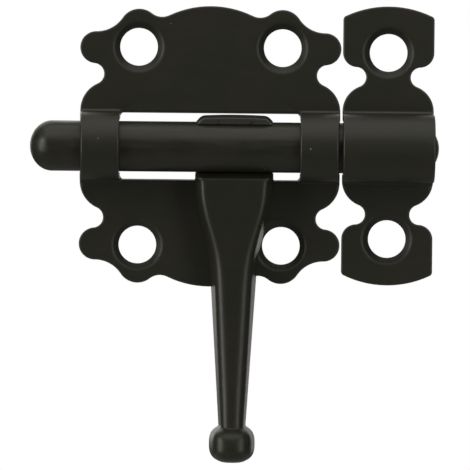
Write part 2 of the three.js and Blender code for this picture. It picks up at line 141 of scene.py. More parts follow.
class LatchPlateSettings(PropertyGroup):
    """The door plate's outline, window and bridges."""

    screws_x: length("Screws across", 28.7, "Screw hole to screw hole across the plate")
    screws_z: length("Screws up", 39.5, "Screw hole to screw hole up the plate")
    window_length: length("Window length", 35.9, "Between the two bridges")
    window_gap: length("Window gap", 0.2, "Handle hook to the window's edge")
    window_corner: length("Window corner", 0.5, "Radius of the window's corners")
    bridge_width: length("Bridge width", 8.0, "Width of each bridge")
    necking: length("Necking", 0.5, "How much narrower a bridge is at its crown")
    top_lug_radius: length("Top lug", 4.0, "Radius of the lugs above and below the screws")
    top_lug_in: length("Top lug in", 0.05, "How far inside its screw a top lug's centre is")
    top_lug_rise: length("Top lug rise", 3.6, "How far past its screw a top lug's centre is")
    side_lug_radius: length("Side lug", 3.2, "Radius of the lugs beside the screws")
    side_lug_out: length("Side lug out", 8.5, "How far outside its screw a side lug's centre is")
    side_lug_drop: length("Side lug drop", 0.15, "How far a side lug's centre is short of its screw's height")
    hump_rise: length("Hump rise", 8.25, "Crown of the plate past its screws")
    hump_radius: length("Hump", 19.4, "Radius of the plate's crown")
    shoulder_radius: length("Shoulder", 5.8, "Radius of the shoulders next to the bridges")
    shoulder_set_in: length("Shoulder set in", 0.4, "Shoulder centres inside the bend line")
    valley_radius: length("Valley", 3.3, "Hollow between the crown and a top lug")
    flank_radius: length("Flank", 6.3, "Hollow between a top lug and a side lug")
    notch_radius: length("Notch", 2.1, "Hollow between a side lug and a shoulder")


class LatchKeeperSettings(PropertyGroup):
    """The keeper's outline."""

    screws_z: length("Screws up", 37.2, "Screw hole to screw hole")
    blank_rise: length("Blank rise", 0.4, "How high the outline and the holes sit on the bridge")
    crown_rise: length("Crown rise", 9.25, "Crown of the keeper past its screws")
    crown_radius: length("Crown", 20.0, "Radius of the keeper's crown")
    corner_radius: length("Corner", 0.9, "Radius of its corners")
    cheek_radius: length("Cheek", 2.9, "Radius of the cheeks beside the screws")
    notch_radius: length("Notch", 2.0, "Radius of the notches at its neck")
    shoulder_radius: length("Shoulder", 5.3, "Radius of the shoulders next to the bridge")
    shoulder_set_in: length("Shoulder set in", 0.6, "Shoulder centres inside the bend line")


class LatchBoltSettings(PropertyGroup):
    """The bolt's ends."""

    dome: length("Dome", 4.4, "Length of each rounded end")


class LatchHandleSettings(PropertyGroup):
    """The pressed handle."""

    sheet: length("Handle sheet", 1.4, "Thickness of the handle's sheet")
    hook_width: length("Hook width", 15.0, "Width of the hook")
    hook_corner: length("Hook corner", 0.6, "Corner radius of the hook's end")
    hook_crown: length("Hook crown", 0.25, "How much the hook's back falls away towards its sides")
    hook_side: length("Hook side", 1.7, "Radius that rounds the hook's back into its sides")
    hook_lap: angle("Hook lap", 28, "How far the hook reaches past the top of the bolt")
    plate_clearance: length("Plate clearance", 0.3, "Back of the handle to the door plate")
    head_half: length("Head half width", 7.95, "Half width of the head at its back")
    head_reach: length("Head reach", 2.0, "Front of the head, forward of the bolt axis")
    head_slope: length("Head slope", 1.2, "Height of the slope from the bolt to the head's front edge")
    wall_start: length("Wall start", 0.4, "Start of the walls, forward of the bolt axis")
    wall_drop: length("Wall drop", 1.1, "Height over which the walls reach their full depth")
    shank_top_half: length("Shank top", 5.9, "Half width of the shank's taper at the head")
    shank_neck_half: length("Shank neck", 2.72, "Half width of the shank's taper at the neck")
    flare_start: length("Flare start", 3.5, "Start of the flare, below the underside of the bolt")
    flare_end: length("Flare end", 19.0, "End of the flare")
    ridge_head: share("Ridge at head", 0.87, "Width between the ridges as a share of the back's")
    ridge_neck: share("Ridge at neck", 0.75, "The same at the neck")
    ridge_bulb: share("Ridge at bulb", 0.75, "The same at the bulb")
    narrowing_start: share("Narrowing start", 0.1, "Where the ridges start to draw together")
    narrowing_end: share("Narrowing end", 0.46, "Where they have drawn together")
    ridge_rounding: length("Ridge rounding", 1.4, "Length of a flank that a ridge's rounding takes")
    neck_rounding: length("Neck rounding", 2.2, "The same at the neck")
    sweep: length("Sweep", 3.6, "How far the bulb leans out from the head")
    sweep_start: length("Sweep start", 20.0, "Where the lean starts, below the bolt axis")
    bulb_half_width: length("Bulb half width", 4.57, "Half width of the bulb")
    bulb_half_height: length("Bulb half height", 3.75, "Half height of the bulb")
    bulb_roundness: FloatProperty(
        name="Bulb roundness",
        description="Exponent of the bulb's rounded-square outline",
        default=2.8,
        min=2.0,
    )
    neck_blend: length("Neck blend", 0.7, "Softening of the corner between shank and bulb")
    neck_depth: length("Neck depth", 5.2, "Depth of the shank at the neck")
    bulb_depth: length("Bulb depth", 7.2, "Depth of the bulb")
    rim_rounding: length("Rim rounding", 0.3, "How far the sheet's edges are rounded out")


class LatchFinishSettings(PropertyGroup):
    """The black coat."""

    coat: colour("Coat", (0.0165, 0.0192, 0.0105), "Colour of the black coat")
    coat_warm: colour("Warm coat", (0.0205, 0.0192, 0.0122), "Colour of the coat where it looks brown")
    # The lighter grey that edges and bends are painted with, as wear and as painted highlight.
    worn_and_highlit: colour("Worn and highlit coat", (0.075, 0.072, 0.064), "Colour where edges and rubbed places have greyed")
    steel: colour("Bare steel", (0.62, 0.60, 0.56), "Colour of a chip through the coat")
    plate_roughness: share("Plate roughness", 0.46, "Roughness of the plates")
    bolt_roughness: share("Bolt roughness", 0.40, "Roughness of the bolt")
    handle_roughness: share("Handle roughness", 0.40, "Roughness of the handle")


class LatchStageSettings(PropertyGroup):
    """The camera and the floor."""

    distance: length("Camera distance", 1000.0, "Camera to the plate")
    framed: length("Framed width", 94.0, "Width that the camera frames at the plate")
    aim_x: length("Aim X", 5.16, "Where the camera looks, along the bolt")
    aim_drop: length("Aim drop", 17.68, "Where the camera looks, below the bolt")
    elevation: angle("Elevation", 2.0, "Camera above the horizon")
    roll: angle("Roll", 0.54, "Camera tilt, which turns the latch clockwise")
    floor_drop: length("Floor drop", 50.0, "Floor below the end of the handle")
    floor_radius: length("Floor radius", 150.0, "Radius of the floor")


SETTINGS = {
    "latch_sheet": LatchSheetSettings,
    "latch_plate": LatchPlateSettings,
    "latch_keeper": LatchKeeperSettings,
    "latch_bolt": LatchBoltSettings,
    "latch_handle": LatchHandleSettings,
    "latch_finish": LatchFinishSettings,
    "latch_stage": LatchStageSettings,
}


def settings(name):
    """One of the scene's groups of settings."""
    return getattr(bpy.context.scene, "latch_" + name)


# ---- Curves ----
ARC_STEP = math.radians(4)


def smooth(t):
    """3t^2 - 2t^3, with t kept from 0 to 1."""
    c = np.clip(t, 0, 1)
    return c * c * (3 - 2 * c)


def blended_max(a, b, k):
    """The larger of a and b, with the corner between them rounded by k."""
    return np.maximum(a, b) + np.maximum(0, k - np.abs(a - b)) ** 2 / (4 * k)


def quadratic(a, c, b, t):
    """The curve (1-t)^2 a + 2t(1-t) c + t^2 b, from a to b under the corner c."""
    return (1 - t) ** 2 * a + 2 * t * (1 - t) * c + t**2 * b


def arc(centre, radius, start, end, turn=1):
    """Points centre + radius (cos t, sin t), with t going from start to end, anticlockwise if turn is 1."""
    sweep = ((end - start) * turn) % (2 * math.pi)
    steps = max(2, math.ceil(sweep / ARC_STEP))
    t = start + turn * sweep * np.linspace(0, 1, steps + 1)
    return np.stack([centre[0] + radius * np.cos(t), centre[1] + radius * np.sin(t)], 1)


def fillet(a, b, radius):
    """The circle (x, z, radius) that touches circles a and b from outside, right of the way from a to b."""
    apart = math.hypot(b[0] - a[0], b[1] - a[1])
    ux, uz = (b[0] - a[0]) / apart, (b[1] - a[1]) / apart
    ra, rb = a[2] + radius, b[2] + radius
    along = (ra * ra - rb * rb + apart * apart) / (2 * apart)
    aside = math.sqrt(ra * ra - along * along)
    return a[0] + ux * along + uz * aside, a[1] + uz * along - ux * aside, radius


def angle_to(a, b):
    """The direction from circle a's centre to circle b's."""
    return math.atan2(b[1] - a[1], b[0] - a[0])


def tangent_chain(circles, start, end):
    """Arcs along circles that touch in turn, lugs anticlockwise and the hollows between them clockwise."""
    last = len(circles) - 1
    parts = []
    for i, c in enumerate(circles):
        first = start if i == 0 else angle_to(c, circles[i - 1])
        final = end if i == last else angle_to(c, circles[i + 1])
        parts.append(arc(c, c[2], first, final, 1 if i % 2 == 0 else -1))
    return np.vstack(parts)


def without_doubles(loop, least=1e-3 * MM):
    """The closed loop without points that repeat the one before."""
    gap = np.linalg.norm(loop - np.roll(loop, 1, 0), axis=1)
    return loop[gap > least]


def mirrored(quarter, side_rows):
    """The whole outline, anticlockwise, from its upper left quarter and the heights along its sides."""
    side = np.stack([np.full(len(side_rows), quarter[-1, 0]), side_rows], 1)
    left = np.vstack([quarter, side, (quarter * [1, -1])[::-1]])
    return without_doubles(np.vstack([left, (left * [-1, 1])[::-1]]))


def rounded_rectangle(half_x, half_z, radius, side_rows):
    """A rectangle about the origin, clockwise as a hole's edge is, with the heights along its sides."""
    x, z = half_x - radius, half_z - radius
    right = np.stack([np.full(len(side_rows), half_x), side_rows], 1)
    quarter = math.pi / 2
    centres = [(x, z), (-x, z), (-x, -z), (x, -z)]
    corners = [arc(c, radius, i * quarter, (i + 1) * quarter) for i, c in enumerate(centres)]
    loop = np.vstack([*corners[:2], right * [-1, 1], *corners[2:], right[::-1]])
    return without_doubles(loop)[::-1]


def round_hole(x, z, radius):
    """A circle, clockwise as a hole's edge is."""
    return arc((x, z), radius, 0, 2 * math.pi - 1e-9)[:-1][::-1]


def rounded_profile(corners, roundings, steps=5):
    """The line through corners, each inner one rounded by a quadratic that starts its rounding away.

    It gives the points, and how much of an edge each is: 4t(1-t) along a rounding.
    """
    corners = np.asarray(corners, float)
    points, edge = [corners[0]], [0.0]
    t = np.linspace(0, 1, steps + 1)[:, None]
    for i, rounding in enumerate(roundings, 1):
        before, corner, after = corners[i - 1], corners[i], corners[i + 1]
        a = corner + (before - corner) / np.linalg.norm(before - corner) * rounding
        b = corner + (after - corner) / np.linalg.norm(after - corner) * rounding
        points.extend(quadratic(a, corner, b, t))
        edge.extend((4 * t * (1 - t)).ravel())
    return np.vstack([*points, corners[-1]]), np.array([*edge, 0.0])


# ---- Meshes ----
SPREAD_CLEAR = 0.12 * MM  # least gap from an inner point of a sheet to its edges
CHUNKS = 8  # the edges are measured against in this many parts, to save memory
BEND_WEAR_AND_HIGHLIGHT_AT = (-0.35, 0.2)  # greyed lines off the bend lines, wear and painted highlight, above and below, as shares of the bend
BEND_WEAR_AND_HIGHLIGHT_WIDTH = 0.4 * MM
BEND_WEAR_AND_HIGHLIGHT = (0.95, 1.4)  # how strongly the bends are greyed, as wear and painted highlight, above and below


def inside(points, loop):
    """Which points are inside the loop: a ray from each crosses it an odd number of times."""
    a, b = loop, np.roll(loop, -1, 0)
    x, z = points[:, :1], points[:, 1:]
    spans = (a[:, 1] > z) != (b[:, 1] > z)
    rise = np.where(a[:, 1] == b[:, 1], 1, b[:, 1] - a[:, 1])
    crossing = a[:, 0] + (z - a[:, 1]) * (b[:, 0] - a[:, 0]) / rise
    return ((spans & (x < crossing)).sum(1) % 2).astype(bool)


def offset_loop(loop, distance):
    """The loop moved to its left, into the sheet, by distance along the mean of the normals at each point."""
    edge = np.roll(loop, -1, 0) - loop
    normal = np.stack([-edge[:, 1], edge[:, 0]], 1) / np.linalg.norm(edge, axis=1, keepdims=True)
    mean = normal + np.roll(normal, 1, 0)
    return loop + distance * mean / np.linalg.norm(mean, axis=1, keepdims=True)


def in_sheet(points, loops):
    """Which points are inside the first loop and outside the others."""
    kept = inside(points, loops[0])
    for hole in loops[1:]:
        kept &= ~inside(points, hole)
    return kept


def fill(loops, spread):
    """Triangles of the flat region left of every loop, through the spread points that are clear of the loops.

    The points come back with the loops' first, in order, and then the spread ones.
    """
    borders = np.vstack(loops)
    nearest = np.full(len(spread), np.inf)
    for chunk in np.array_split(borders, CHUNKS):
        gap = np.linalg.norm(spread[:, None] - chunk[None], axis=2).min(1)
        nearest = np.minimum(nearest, gap)
    points = np.vstack([borders, spread[in_sheet(spread, loops) & (nearest > SPREAD_CLEAR)]])
    edges, start = [], 0
    for loop in loops:
        index = np.arange(len(loop)) + start
        edges.extend(np.stack([index, np.roll(index, -1)], 1).tolist())
        start += len(loop)
    flat = [Vector(p) for p in (points / MM).tolist()]
    made, _, faces, source, _, _ = delaunay_2d_cdt(flat, edges, [], 0, 1e-6)
    if len(made) != len(points):
        raise RuntimeError(f"the flat sheet has {len(made)} points and not {len(points)}")
    triangles = np.array([s[0] for s in source])[np.array(faces)]
    triangles = triangles[in_sheet(points[triangles].mean(1), loops)]
    a, b, c = (points[triangles[:, i]] for i in range(3))
    turned = np.cross(b - a, c - a) < 0
    triangles[turned] = triangles[turned][:, ::-1]
    return points, triangles


def grid_faces(rows, columns, start=0, wrap=False):
    """Quads of a grid whose point (row, column) is start + row * columns + column."""
    last = columns if wrap else columns - 1
    row, column = np.meshgrid(np.arange(rows - 1), np.arange(last), indexing="ij")
    following = (column + 1) % columns
    a = start + row * columns + column
    b = start + row * columns + following
    return np.stack([a, a + columns, b + columns, b], -1).reshape(-1, 4)


def bend_share(bridge, height, within):
    """How much of a greyed bend line, wear and painted highlight, is at each blank height: e^(-u^2) about the
    line, where within is 1.
    """
    middle = bridge.bend_line + np.where(height > 0, *BEND_WEAR_AND_HIGHLIGHT_AT) * bridge.bend
    share = within * np.exp(-(((np.abs(height) - middle) / BEND_WEAR_AND_HIGHLIGHT_WIDTH) ** 2))
    return np.where(height > 0, *BEND_WEAR_AND_HIGHLIGHT) * share


def new_piece(name, points, faces, edge, body, node):
    """A smooth mesh that stands for a CAD node, with the share of an edge at each point as its attribute."""
    mesh = bpy.data.meshes.new(name)
    mesh.from_pydata(np.asarray(points).tolist(), [], faces)
    mesh.attributes.new("edge", "FLOAT", "POINT").data.foreach_set("value", np.asarray(edge, np.float32))
    mesh.polygons.foreach_set("use_smooth", np.ones(len(mesh.polygons), bool))
    mesh.validate()
    mesh.update()
    piece = bpy.data.objects.new(name, mesh)
    bpy.context.scene.collection.objects.link(piece)
    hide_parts(node)
    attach(piece, body)
    return piece


def pressed_sheet(loops, profiles, spread, place, worn_and_highlit):
    """One pressed sheet: its blank's two faces and the profile carried along every edge, put in place.

    loops are the blank's edges with the sheet on their left. profiles give, for each loop, points (distance
    into the sheet, depth below the front) from the front face to the back one, and how much of an edge each
    is. place turns arrays of blank x, blank z and depth into points, and worn_and_highlit gives the front's
    greyed share, wear and painted highlight, at blank x and z.
    """
    borders = [offset_loop(loop, profile[0][0, 0]) for loop, profile in zip(loops, profiles)]
    flat, triangles = fill(borders, spread)
    sheet = settings("sheet").thickness
    count = len(flat)
    x, z = flat.T
    points = [place(x, z, np.zeros(count)), place(x, z, np.full(count, sheet))]
    edge = [worn_and_highlit(x, z), np.zeros(count)]
    faces = [triangles.tolist(), (triangles[:, ::-1] + count).tolist()]
    start, first = 2 * count, 0
    for loop, (profile, share_of_edge) in zip(loops, profiles):
        inner = profile[1:-1]
        x, z = np.vstack([offset_loop(loop, distance) for distance in inner[:, 0]]).T
        depth = np.repeat(inner[:, 1], len(loop))
        points.append(place(x, z, depth))
        bent = worn_and_highlit(x, z) * (depth < sheet / 2)
        edge.append(np.maximum(np.repeat(share_of_edge[1:-1], len(loop)), bent))
        at = np.arange(len(loop))
        index = np.vstack([first + at, start + np.arange(len(inner) * len(loop)).reshape(-1, len(loop))])
        index = np.vstack([index, count + first + at])
        following = np.roll(index, -1, 1)
        quads = np.stack([index[:-1], index[1:], following[1:], following[:-1]], -1)
        faces.append(quads.reshape(-1, 4).tolist())
        start += len(inner) * len(loop)
        first += len(loop)
    return np.vstack(points), sum(faces, []), np.concatenate(edge)


# ---- Plates ----
ARCH_STEPS = 44
ARCH_SAMPLES = 2000
SPREAD = 0.4 * MM  # the flat's grid of inner points starts this far past a bend line
ROW_GAP = 0.1 * MM  # least gap from a corner to the next row of points along an edge
TONGUE = 0.75 * MM  # length over which a bridge blends into the flat beside the window
# share of grey on a countersink's rounded rim, as wear and painted highlight
COUNTERSINK_WEAR_AND_HIGHLIGHT = 0.35
SINK_ROUNDING = 0.12 * MM  # where a countersink meets the hole's straight wall
RAISE_RUN = 2 * MM  # height over which the keeper's outline shifts up, next to its bridge
RAISE_START = 1.3  # where the shift starts, in runs inside the bend line
STRIP_COLUMNS = np.linspace(0.12, 0.88, 6)  # columns of inner points across a bridge, as shares of it


class Bridge:
    """The arch over the bolt: a bend out of the plate, a straight wall and half a turn round the bolt."""

    def __init__(self):
        sheet = settings("sheet")
        self.sheet = sheet.thickness
        self.inner = CROWN_HEIGHT - AXIS_HEIGHT - self.sheet
        self.bend = sheet.bend_radius + self.sheet
        self.bend_line = self.inner + self.bend
        self.bend_length = self.bend * math.pi / 2
        self.wall_length = AXIS_HEIGHT - self.bend
        self.length = self.bend_length + self.wall_length + self.inner * math.pi / 2

    def along(self, height):
        """Length along the arch from its bend line at a blank height: h s + (L - h) s^1.5, s = 1 - |z|/h."""
        s = 1 - np.clip(np.abs(height) / self.bend_line, 0, 1)
        return self.bend_line * s + (self.length - self.bend_line) * s**1.5

    def rows(self):
        """Blank heights that are evenly spaced along the arch, from one bend line to the other."""
        height = np.linspace(0, self.bend_line, ARCH_SAMPLES)
        even = np.linspace(0, self.length, ARCH_STEPS + 1)
        upper = np.interp(even, self.along(height)[::-1], height[::-1])
        return np.concatenate([upper, -upper[-2::-1]])

    def point(self, height, depth):
        """Y and Z on the arch at a blank height and a depth below the front face."""
        run = self.along(height)
        turn = np.clip(run / self.bend, 0, math.pi / 2)
        wall = np.clip(run - self.bend_length, 0, self.wall_length)
        over = np.clip((run - self.bend_length - self.wall_length) / self.inner, 0, math.pi / 2)
        y = -self.bend * (1 - np.cos(turn)) - wall - self.inner * np.sin(over)
        z = self.bend_line - self.bend * np.sin(turn) - self.inner * (1 - np.cos(over))
        normal_y = np.where(over > 0, -np.sin(over), -np.cos(turn))
        normal_z = np.where(over > 0, np.cos(over), np.sin(turn))
        out = self.sheet - depth
        side = np.where(height < 0, -1.0, 1.0)
        return y + normal_y * out, side * (z + normal_z * out)


def edge_profile():
    """The rounded edge of the sheet, from the front face round to the back one."""
    sheet = settings("sheet")
    border, deep = sheet.edge_border, sheet.thickness
    corners = [(border, 0), (0, 0), (0, deep), (border, deep)]
    return rounded_profile(corners, [sheet.front_rounding, sheet.back_rounding])


def screw_hole_profile():
    """A countersunk hole's wall, from the front face down the soft countersink to the back one."""
    sheet = settings("sheet")
    deep = sheet.thickness
    mouth = sheet.countersink_radius - sheet.hole_radius
    ring = mouth + sheet.countersink_rounding
    corners = [(ring, 0), (mouth, 0), (0, deep - sheet.countersink_land), (0, deep), (ring, deep)]
    roundings = [0.98 * sheet.countersink_rounding, SINK_ROUNDING, sheet.back_rounding]
    profile, share_of_edge = rounded_profile(corners, roundings)
    return profile, COUNTERSINK_WEAR_AND_HIGHLIGHT * share_of_edge


def even_steps(reach, step):
    """Positions from -reach to reach, given in millimetres and returned in metres."""
    return np.arange(-reach, reach + 0.1, step) * MM


def spread_points(columns, rows, beyond=0.0):
    """Every column at every row whose height is beyond the given one."""
    x, z = np.meshgrid(columns, rows)
    points = np.stack([x.ravel(), z.ravel()], 1)
    return points[np.abs(points[:, 1]) >= beyond]


def door_plate_outline(bridge):
    """The door plate's outline: crown, valley, top lug, flank, side lug, notch and shoulder, each tangent."""
    plate = settings("plate")
    x, z = -plate.screws_x / 2, plate.screws_z / 2
    half = plate.window_length / 2 + plate.bridge_width
    hump = (0, z + plate.hump_rise - plate.hump_radius, plate.hump_radius)
    top_lug = (x + plate.top_lug_in, z + plate.top_lug_rise, plate.top_lug_radius)
    side_lug = (x - plate.side_lug_out, z - plate.side_lug_drop, plate.side_lug_radius)
    shoulder_z = bridge.bend_line - plate.shoulder_set_in
    shoulder = (plate.shoulder_radius - half, shoulder_z, plate.shoulder_radius)
    chain = [
        hump,
        fillet(hump, top_lug, plate.valley_radius),
        top_lug,
        fillet(top_lug, side_lug, plate.flank_radius),
        side_lug,
        fillet(side_lug, shoulder, plate.notch_radius),
        shoulder,
    ]
    rows = bridge.rows()
    quarter = tangent_chain(chain, math.pi / 2, math.pi)
    return mirrored(quarter, rows[np.abs(rows) < shoulder_z - ROW_GAP])


def build_door_plate():
    """The door plate: a flat blank with its window and screw holes, whose two strips rise into bridges."""
    sheet, plate, bridge = settings("sheet"), settings("plate"), Bridge()
    window = plate.window_length / 2
    window_z = HOOK_OUTER + plate.window_gap
    rows = bridge.rows()
    side_rows = rows[np.abs(rows) < window_z - plate.window_corner - ROW_GAP]
    opening = rounded_rectangle(window, window_z, plate.window_corner, side_rows)
    loops = [door_plate_outline(bridge), opening]
    profiles = [edge_profile(), edge_profile()]
    for x in (-plate.screws_x / 2, plate.screws_x / 2):
        for z in (-plate.screws_z / 2, plate.screws_z / 2):
            loops.append(round_hole(x, z, sheet.hole_radius))
            profiles.append(screw_hole_profile())

    def place(x, z, depth):
        """Flat beside the window, and on the arch past its ends, with a short blend between the two.

        A bridge's outer side comes in by the necking times its rise^1.5.
        """
        bent = smooth((np.abs(x) - window + TONGUE) / TONGUE)
        arch_y, arch_z = bridge.point(z, depth)
        flat_y = depth - sheet.thickness
        flat = np.abs(z) >= bridge.bend_line
        y = np.where(flat, flat_y, bent * arch_y + (1 - bent) * flat_y)
        height = np.where(flat, z, bent * arch_z + (1 - bent) * z)
        rise = np.clip((-y - sheet.thickness) / (CROWN_HEIGHT - sheet.thickness), 0, 1) ** 1.5
        outer = np.clip((np.abs(x) - window) / plate.bridge_width, 0, 1)
        return np.stack([x - np.sign(x) * plate.necking * rise * outer, y, height], -1)

    strip = window + plate.bridge_width * STRIP_COLUMNS
    corner = window + TONGUE * np.linspace(-1.1, 0.4, 11)
    near_bend = np.linspace(window_z - plate.window_corner, bridge.bend_line + ROW_GAP, 11)
    spread = np.vstack(
        [
            spread_points(np.concatenate([-strip, strip]), rows),
            spread_points(np.concatenate([-corner, corner]), np.concatenate([-near_bend, near_bend])),
            spread_points(even_steps(26, 2.6), even_steps(27, 2.45), bridge.bend_line + SPREAD),
        ]
    )

    def worn_and_highlit(x, z):
        """Greyed bend lines at the ends of the two bridges, as wear and painted highlight."""
        return bend_share(bridge, z, smooth((np.abs(x) - window) / TONGUE))

    points, faces, edge = pressed_sheet(loops, profiles, spread, place, worn_and_highlit)
    return new_piece("door_plate_pressing", points, faces, edge, "plate", "door_plate")


def keeper_outline(bridge, half, holes_z):
    """The keeper's outline: crown, corner, cheek, notch and shoulder."""
    keeper = settings("keeper")
    crown = (0, holes_z + keeper.crown_rise - keeper.crown_radius, keeper.crown_radius)
    corner_x = keeper.corner_radius - half
    corner_z = crown[1] + math.sqrt((crown[2] - keeper.corner_radius) ** 2 - corner_x**2)
    corner = (corner_x, corner_z, keeper.corner_radius)
    cheek = (keeper.cheek_radius - half, holes_z, keeper.cheek_radius)
    shoulder_z = bridge.bend_line - keeper.shoulder_set_in
    shoulder = (keeper.shoulder_radius - half, shoulder_z, keeper.shoulder_radius)
    notch = fillet(cheek, shoulder, keeper.notch_radius)
    quarter = np.vstack(
        [
            arc(crown, crown[2], math.pi / 2, angle_to(crown, corner)),
            arc(corner, corner[2], angle_to(crown, corner), math.pi),
            tangent_chain([cheek, notch, shoulder], math.pi, math.pi),
        ]
    )
    rows = bridge.rows()
    return mirrored(quarter, rows[np.abs(rows) < shoulder_z - keeper.blank_rise - ROW_GAP])


def build_keeper():
    """The keeper: a blank with two screw holes, whose middle rises into one bridge across its whole width."""
    sheet, keeper, bridge = settings("sheet"), settings("keeper"), Bridge()
    middle = (KEEPER_LOW.x + KEEPER_HIGH.x) / 2
    half = (KEEPER_HIGH.x - KEEPER_LOW.x) / 2
    holes_z = keeper.screws_z / 2
    outline = keeper_outline(bridge, half, holes_z)
    raised = smooth((np.abs(outline[:, 1:]) - bridge.bend_line) / RAISE_RUN + RAISE_START)
    loops = [outline + np.array([0, keeper.blank_rise]) * raised]
    profiles = [edge_profile()]
    for z in (-holes_z, holes_z):
        loops.append(round_hole(0, z + keeper.blank_rise, sheet.hole_radius))
        profiles.append(screw_hole_profile())

    def place(x, z, depth):
        """Flat past the bend lines, and on the arch between them."""
        arch_y, arch_z = bridge.point(z, depth)
        flat = np.abs(z) >= bridge.bend_line
        y = np.where(flat, depth - sheet.thickness, arch_y)
        return np.stack([x + middle, y, np.where(flat, z, arch_z)], -1)

    spread = np.vstack(
        [
            spread_points(half * np.linspace(-0.88, 0.88, 10), bridge.rows()),
            spread_points(even_steps(8, 2), even_steps(26, 2.2), bridge.bend_line + SPREAD),
        ]
    )

    def worn_and_highlit(x, z):
        """Greyed bend lines at the ends of the bridge, as wear and painted highlight."""
        return bend_share(bridge, z, np.ones_like(x))

    points, faces, edge = pressed_sheet(loops, profiles, spread, place, worn_and_highlit)
    return new_piece("keeper_pressing", points, faces, edge, "keeper", "keeper")


# ---- Bolt ----
BOLT_AROUND = 96
DOME_ROWS = 25
BAR_ROWS = 88


def build_bolt():
    """The bolt: r(t) = R sin t over domes x = L/2 - D (1 - cos t), and r = R between, turned about X."""
    dome = settings("bolt").dome
    half = BOLT_LENGTH / 2
    turn = np.linspace(0, math.pi / 2, DOME_ROWS)
    end_x = -half + dome * (1 - np.cos(turn))
    end_r = BOLT_RADIUS * np.sin(turn)
    straight = np.linspace(dome - half, half - dome, BAR_ROWS + 2)[1:-1]
    x = np.concatenate([end_x, straight, -end_x[::-1]])
    r = np.concatenate([end_r, np.full(len(straight), BOLT_RADIUS), end_r[::-1]])
    t = np.linspace(0, 2 * math.pi, BOLT_AROUND, endpoint=False)
    x_in, r_in = x[1:-1, None], r[1:-1, None]
    ring = np.stack([np.broadcast_to(x_in, (len(x_in), BOLT_AROUND)), r_in * np.cos(t), r_in * np.sin(t)], -1)
    poles = np.array([[x[0], 0, 0], [x[-1], 0, 0]])
    points = np.vstack([ring.reshape(-1, 3), poles]) + np.array(BOLT_AXIS)
    rows = len(x_in)
    at = np.arange(BOLT_AROUND)
    following = np.roll(at, -1)
    left, right = rows * BOLT_AROUND, rows * BOLT_AROUND + 1
    last = (rows - 1) * BOLT_AROUND
    faces = grid_faces(rows, BOLT_AROUND, wrap=True)[:, ::-1].tolist()
    faces += np.stack([np.full_like(at, left), following, at], 1).tolist()
    faces += np.stack([np.full_like(at, right), last + at, last + following], 1).tolist()
    edge = np.zeros(len(points))
    return new_piece("bolt_bar", points, faces, edge, "bolt", "bolt")


# ---- Handle ----
FRONT_STEPS = 16
RIDGE_STEPS = 8
FLANK_STEPS = 10
RIM_STEPS = 4
COLUMNS = FRONT_STEPS + 2 * RIDGE_STEPS + 2 * FLANK_STEPS + 1
MOST_ROUNDING = 0.95  # the most of a flank or of a front that a ridge's rounding takes
SWEEP_POWER = 1.6
BULB_END = 0.997  # where the bulb's rows stop, as a share of a quarter turn
LEAST_DEPTH = 0.02 * MM  # least depth from the back of the walls to the front
# share of grey along the handle's ridges, as wear and painted highlight
RIDGE_WEAR_AND_HIGHLIGHT = 0.5
# The rows round the sheared end of the hook's front and back faces: how many millimetres each stands in from
# the end, and its share of the sheet's thickness.
LIP_FRONT = np.array([[0.07, 0.31], [0.06, 0.28], [-0.05, 0.25], [-0.06, 0.15], [0.0, 0.05], [0.09, 0.0]])
LIP_BACK = np.array([[0.07, 0.84], [0.08, 0.9], [0.1, 0.95], [0.14, 0.98], [0.21, 1.0], [0.3, 1.0]])
END_RUN = 1.6  # run of the close rows at the hook's end, in corner radii
END_ROWS = 9
HOOK_ROWS = 47
WALL_ROWS = 12
SHANK_ROWS = 69
BULB_ROWS = 40
SIDE_FALL = 0.9  # how far round its quarter circle the hook's side goes
MOST_FALL = 0.88  # the most of the sheet that the hook's crown and sides take away
FALL_END = 0.8  # turn over which the hook's crown fades out at the bottom, in radians
HEAD_RIDGE = 0.97  # half width between the ridges under the bolt, as a share of the hook's


def handle_form(below, inset):
    """The handle's section at depths below the bolt axis, drawn in by inset for the inside of the sheet.

    It gives half widths at the back and between the front ridges, front and back in Y from the bolt axis, and
    how far each ridge is rounded. The bulb's outline is |x/a|^n + |z/b|^n = 1.
    """
    h = settings("handle")
    under_bolt = HOOK_OUTER - h.sheet
    centre = HANDLE_LENGTH - h.bulb_half_height
    neck = HANDLE_LENGTH - 2 * h.bulb_half_height
    along = np.clip((below - under_bolt) / (neck - under_bolt), 0, 1)
    flare = 1 - smooth((below - under_bolt - h.flare_start) / (h.flare_end - h.flare_start))
    shank = h.shank_top_half + (h.shank_neck_half - h.shank_top_half) * along
    shank = shank + (h.head_half - h.shank_top_half) * flare - inset
    reach = np.clip(np.abs(below - centre) / (h.bulb_half_height - inset), 0, 1)
    bulb = (1 - reach**h.bulb_roundness) ** (1 / h.bulb_roundness)
    bulb_half = (h.bulb_half_width - inset) * bulb
    in_shank = below < centre
    half = np.where(in_shank, blended_max(shank, bulb_half, h.neck_blend), bulb_half)
    back_rest = AXIS_HEIGHT - settings("sheet").thickness - h.plate_clearance
    head_depth = back_rest + h.head_reach
    shank_depth = head_depth + (h.neck_depth - head_depth) * smooth(along)
    swept = np.clip((below - h.sweep_start) / (HANDLE_LENGTH - h.sweep_start), 0, 1)
    back = back_rest - h.sweep * swept**SWEEP_POWER
    bulb_depth = h.bulb_depth * bulb
    depth = np.where(in_shank, blended_max(shank_depth, bulb_depth, h.neck_blend), bulb_depth)
    bulb_share = smooth(1 + (below - centre) / h.bulb_half_height)
    drawn = smooth((along - h.narrowing_start) / (h.narrowing_end - h.narrowing_start))
    shank_ridge = h.ridge_head + (h.ridge_neck - h.ridge_head) * drawn
    ridge = half * (shank_ridge + (h.ridge_bulb - shank_ridge) * bulb_share)
    shank_rounding = h.ridge_rounding + (h.neck_rounding - h.ridge_rounding) * drawn
    rounding = shank_rounding * (1 - bulb_share) + MOST_ROUNDING * ridge * bulb_share
    return half, ridge, back - depth + inset, back, rounding


